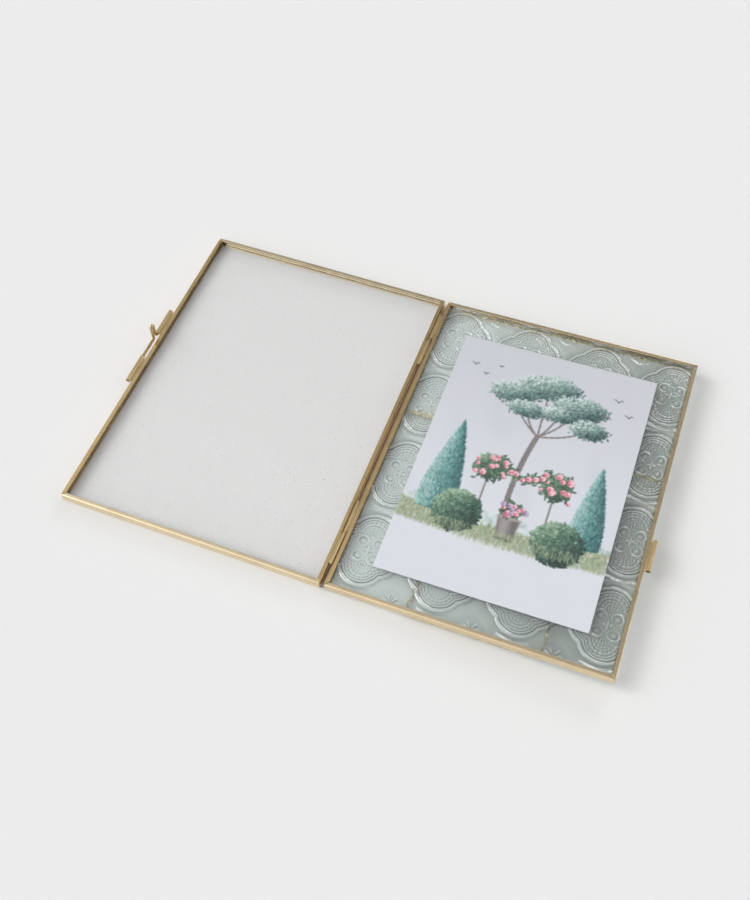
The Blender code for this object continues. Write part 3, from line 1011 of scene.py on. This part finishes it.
def paint_far_ground(sheet):
    """Pale planting far off, and grass that ends in a shallow curve."""
    for _ in range(260):
        u = sheet.random.uniform(0, sheet.width)
        v = GROUND + sheet.random.uniform(1, 6)
        turn = sheet.random.uniform(0, 3)
        sheet.dab(u, v, 1.6, 1.0, turn, sheet.pick(CROWN, 0.85), 0.35)
    for _ in range(3000):
        u = sheet.random.uniform(0, sheet.width)
        sag = 3.0 * math.cos((u - sheet.width / 2) / sheet.width * 2.6)
        v = GROUND - sheet.random.uniform(0, 8.5) - sag + 3
        fade = 0.35 + 0.5 * step_up(np.array(v), GROUND - 10, GROUND)
        lean = math.pi / 2 + sheet.random.normal(0, 0.3)
        blade = sheet.random.uniform(0.9, 2.0)
        sheet.dab(u, v, blade, 0.22, lean, sheet.pick(GRASS, 0.5), float(fade))


def paint_tree(sheet):
    """A leaning trunk, a bough to each clump, and cloud-shaped clumps of leaves."""
    trunk = curve_points([(43.0, GROUND), (41.0, 60.0), TREE_FORK], 18)
    sheet.stroke(trunk, 1.15, 0.9, BARK, 0.85)
    for u, v, *_ in TREE_CLUMPS:
        bend = ((TREE_FORK[0] + u) / 2 + 0.18 * (u - TREE_FORK[0]), (TREE_FORK[1] + v) / 2 - 2.5)
        sheet.stroke(curve_points([TREE_FORK, bend, (u, v)], 10), 0.5, 0.3, BARK, 0.8)
    for u, v, wide, high in TREE_CLUMPS:
        sheet.clump(u, v, wide, high, CROWN, 0.75, int(wide * high * 12))


def paint_roses(sheet):
    """Two rose standards with a hanging garland between them."""
    for u, v in ROSE_HEADS:
        sheet.stroke([(u, GROUND), (u, v)], 0.4, 0.35, BARK, 0.9)
        sheet.clump(u, v, 6.6, 6.4, LEAF, 1.1, 260, 0.16)
        ball = [(u + 5 * math.cos(k), v + 5 * math.sin(k * 1.7)) for k in range(26)]
        sheet.spray(ball, 1.4, 40, 13, LEAF, ROSE)
    garland = curve_points([(36.0, 66.0), (46.0, 53.0), (56.0, 65.0)], 40)
    sheet.spray(garland, 1.0, 150, 11, LEAF, ROSE)


def paint_tub(sheet):
    """A plain stone tub of mixed flowers."""
    bands = 36
    for i in range(bands):
        share = i / (bands - 1)
        half, v = 3.4 + 1.5 * share, 29.0 + 9.5 * share
        sheet.disc(TUB_U, v, half, 0.35, STONE[1], 0.95, 0.3)
        sheet.disc(TUB_U - 1.2, v, half * 0.45, 0.3, STONE[3], 0.5, 0.8)
        sheet.disc(TUB_U + 2.6, v, half * 0.3, 0.3, STONE[0], 0.45, 0.8)
    sheet.disc(TUB_U, 38.9, 5.5, 0.8, STONE[2], 1.0, 0.2)
    sheet.disc(TUB_U, 28.6, 4.1, 0.7, STONE[0], 0.9, 0.3)
    posy = []
    for k in range(30):
        angle, reach = k * 2.4, math.sqrt(k / 30)
        posy.append((TUB_U + 4.6 * math.cos(angle) * reach, 43.5 + 3.2 * math.sin(angle) * reach))
    sheet.spray(posy, 0.9, 90, 9, LEAF, ROSE)
    sheet.spray(posy, 1.2, 0, 5, LEAF, LILAC)


def paint_near_grass(sheet):
    for _ in range(900):
        u = sheet.random.uniform(2, sheet.width - 2)
        v = GROUND - sheet.random.uniform(1.5, 7)
        lean = math.pi / 2 + sheet.random.normal(0, 0.35)
        blade = sheet.random.uniform(0.8, 1.7)
        sheet.dab(u, v, blade, 0.2, lean, sheet.pick(GRASS, 0.45), 0.6)


def paint_birds(sheet):
    for u, v, span in BIRDS:
        left = [(u - span, v + span * 0.5), (u - span * 0.4, v + span * 0.45), (u, v)]
        right = [(u, v), (u + span * 0.5, v + span * 0.55), (u + span, v + span * 0.5)]
        sheet.stroke(left, 0.16, 0.34, BIRD, 0.8)
        sheet.stroke(right, 0.34, 0.16, BIRD, 0.8)


def garden_print(width, height):
    """A generic clipped garden of the builder's own, painted from back to front."""
    sheet = Painting(width, height, seed=11)
    paint_sky(sheet)
    paint_far_ground(sheet)
    paint_tree(sheet)
    for u, foot, top, half_wide, needles in EVERGREENS:
        sheet.cone(u, GROUND + foot, top, half_wide, SPIRE, needles)
    paint_roses(sheet)
    for u, v, half_wide, half_high, leaves in BOX_BALLS:
        sheet.clump(u, v, half_wide, half_high, BOX, 0.85, leaves, 0.04)
    paint_tub(sheet)
    paint_near_grass(sheet)
    paint_birds(sheet)
    return sheet.paint


def to_linear(display):
    """Display colours as the shader's linear ones."""
    return np.where(display <= 0.04045, display / 12.92, ((display + 0.055) / 1.055) ** 2.4)


def sample(paint, u, v):
    """Reads the painting at points, between its dots."""
    rows, columns = paint.shape[:2]
    x = np.clip(u * CANVAS - 0.5, 0, columns - 1.001)
    y = np.clip(v * CANVAS - 0.5, 0, rows - 1.001)
    i, j = y.astype(int), x.astype(int)
    fy, fx = (y - i)[..., None], (x - j)[..., None]
    low = paint[i, j] * (1 - fx) + paint[i, j + 1] * fx
    high = paint[i + 1, j] * (1 - fx) + paint[i + 1, j + 1] * fx
    return low * (1 - fy) + high * fy


def soften(paint):
    """Spreads each dot over its neighbours, to about the grid's own step."""
    for axis in (0, 1):
        paint = 0.25 * np.roll(paint, 1, axis) + 0.5 * paint + 0.25 * np.roll(paint, -1, axis)
    return paint


def grid_slab(name, low, high, step, place):
    """A closed flat slab in a frame of its own, whose top is a fine grid, and the grid's x and y."""
    columns = int(round((high[0] - low[0]) / step)) + 1
    rows = int(round((high[1] - low[1]) / step)) + 1
    x, y = np.meshgrid(np.linspace(low[0], high[0], columns), np.linspace(low[1], high[1], rows))
    top = np.stack([x, y, np.full_like(x, high[2])], -1).reshape(-1, 3)
    index = np.arange(rows * columns).reshape(rows, columns)
    rim = np.concatenate([index[0, :-1], index[:-1, -1], index[-1, :0:-1], index[:0:-1, 0]])
    bottom = top[rim].copy()
    bottom[:, 2] = low[2]
    corners = (index[:-1, :-1], index[:-1, 1:], index[1:, 1:], index[1:, :-1])
    quads = np.stack(corners, -1).reshape(-1, 4)
    under = len(top) + np.arange(len(rim))
    walls = np.stack([np.roll(rim, -1), rim, under, np.roll(under, -1)], -1)
    faces = quads.tolist() + walls.tolist() + [under[::-1].tolist()]
    return placed_mesh(name, np.concatenate([top, bottom]), faces, len(quads), place), x, y


def card_place():
    """The card's own frame: its middle, turned with its lower edge."""
    points = node_points("picture_card", BACK_LEAF)
    foot = points[np.argmin(points[:, 1])]
    ends = [points[np.argmin(points[:, 0])], points[np.argmax(points[:, 0])]]
    near = min(ends, key=lambda end: np.linalg.norm((end - foot)[:2]))
    edge = (near - foot)[:2]
    edge = Vector(edge if edge[0] > 0 else -edge)
    middle = Vector((points.min(0) + points.max(0)) / 2)
    turn = Matrix.Rotation(math.atan2(edge.y, edge.x), 4, "Z")
    return BACK_LEAF @ Matrix.Translation(middle) @ turn


def add_card():
    place = card_place()
    low, high = leaf_box("picture_card", place)
    mesh, x, y = grid_slab("picture_card_print", low, high, CARD_STEP, place)
    paint = soften(garden_print(*(high - low)[:2] / MM))
    colours = np.ones((len(mesh.vertices), 4), np.float32)
    colours[:, :3] = to_linear(np.array(PAPER))
    printed = to_linear(sample(paint, (x - low[0]) / MM, (y - low[1]) / MM))
    colours[: x.size, :3] = printed.reshape(-1, 3)
    layer = mesh.color_attributes.new("print", "FLOAT_COLOR", "POINT")
    layer.data.foreach_set("color", colours.ravel())
    stand_in("picture_card_print", mesh, card_material(), "picture_card")


# ---- stage, light and camera

FLOOR_HALF = 4.0
FLOOR_DROP = 0.05 * MM
FLOOR_COLOUR = (0.83, 0.83, 0.828, 1.0)

# Soft boxes: direction, cosine where full, cosine where gone, strength
SOFT_BOXES = (
    ((0.0, 0.0, 1.0), 0.55, 0.02, 0.15),
    ((-0.62, -0.36, 0.70), 0.94, 0.30, 0.70),
    ((-0.78, -0.10, 0.60), 0.992, 0.975, 4.5),
    ((0.10, 0.88, 0.46), 0.990, 0.970, 5.0),
    ((0.78, 0.35, 0.50), 0.993, 0.982, 4.0),
    ((-0.30, -0.86, 0.40), 0.97, 0.90, 0.9),
)
SKY_LEVEL = 0.10
SUN_FROM = Vector((-0.72, -0.28, 0.72))
SUN_STRENGTH = 0.94
SUN_ANGLE = math.radians(42)


def floor_material():
    material, tree, output = new_material("floor_paper")
    grain = noise(tree, object_coordinates(tree), 600.0, roughness=0.6)
    inputs = {
        "Base Color": FLOOR_COLOUR,
        "Roughness": 0.9,
        "Specular IOR Level": 0.1,
        "Normal": bump(tree, grain, 0.1, 0.1 * MM),
    }
    return finish_material(material, tree, output, inputs)


def make_floor():
    shape = bmesh.new()
    bmesh.ops.create_grid(shape, x_segments=8, y_segments=8, size=FLOOR_HALF)
    mesh = bpy.data.meshes.new("floor")
    shape.to_mesh(mesh)
    shape.free()
    floor = bpy.data.objects.new("floor", mesh)
    floor.location.z = CAD_LOW.z - FLOOR_DROP
    bpy.context.scene.collection.objects.link(floor)
    mesh.materials.append(floor_material())


def make_sky():
    """Dim even grey, broad light from above and the left, and small boxes for the brass to mirror."""
    world = bpy.data.worlds.new("studio")
    bpy.context.scene.world = world
    world.use_nodes = True
    tree = world.node_tree
    tree.nodes.clear()
    output = tree.nodes.new("ShaderNodeOutputWorld")
    place = add_node(tree, "ShaderNodeTexCoord").outputs["Generated"]
    level = SKY_LEVEL
    for direction, full, gone, strength in SOFT_BOXES:
        towards = {0: place, 1: Vector(direction).normalized()}
        facing = add_node(tree, "ShaderNodeVectorMath", towards, operation="DOT_PRODUCT")
        glow = spread(tree, facing.outputs["Value"], gone, full, 0.0, strength)
        level = add_node(tree, "ShaderNodeMath", {0: level, 1: glow}, operation="ADD").outputs[0]
    background = add_node(tree, "ShaderNodeBackground", {"Color": WHITE, "Strength": level})
    tree.links.new(background.outputs[0], output.inputs["Surface"])


def make_sun():
    """The key light: a large soft sun from the upper left."""
    lamp = bpy.data.lights.new("key", "SUN")
    lamp.energy = SUN_STRENGTH
    lamp.angle = SUN_ANGLE
    key = bpy.data.objects.new("key", lamp)
    key.rotation_mode = "QUATERNION"
    key.rotation_quaternion = SUN_FROM.to_track_quat("Z", "Y")
    bpy.context.scene.collection.objects.link(key)


def make_camera():
    data = bpy.data.cameras.new("camera")
    data.lens = CAMERA_LENS
    data.sensor_width = CAMERA_SENSOR
    data.clip_start = 0.01
    data.clip_end = 50.0
    camera = bpy.data.objects.new("camera", data)
    back = -CAMERA_FORWARD.normalized()
    right = (CAMERA_RIGHT - CAMERA_RIGHT.dot(back) * back).normalized()
    turn = Matrix((right, back.cross(right), back)).transposed().to_4x4()
    camera.matrix_world = Matrix.Translation(CAMERA_PLACE) @ turn
    bpy.context.scene.collection.objects.link(camera)
    bpy.context.scene.camera = camera


carry_over_brass()
add_solder()
add_crusts()
refine("clear_glass", clear, PANE_EDGE)
add_pressed_glass()
add_card()
make_floor()
make_sky()
make_sun()
make_camera()
bpy.context.scene.view_settings.view_transform = "Standard"
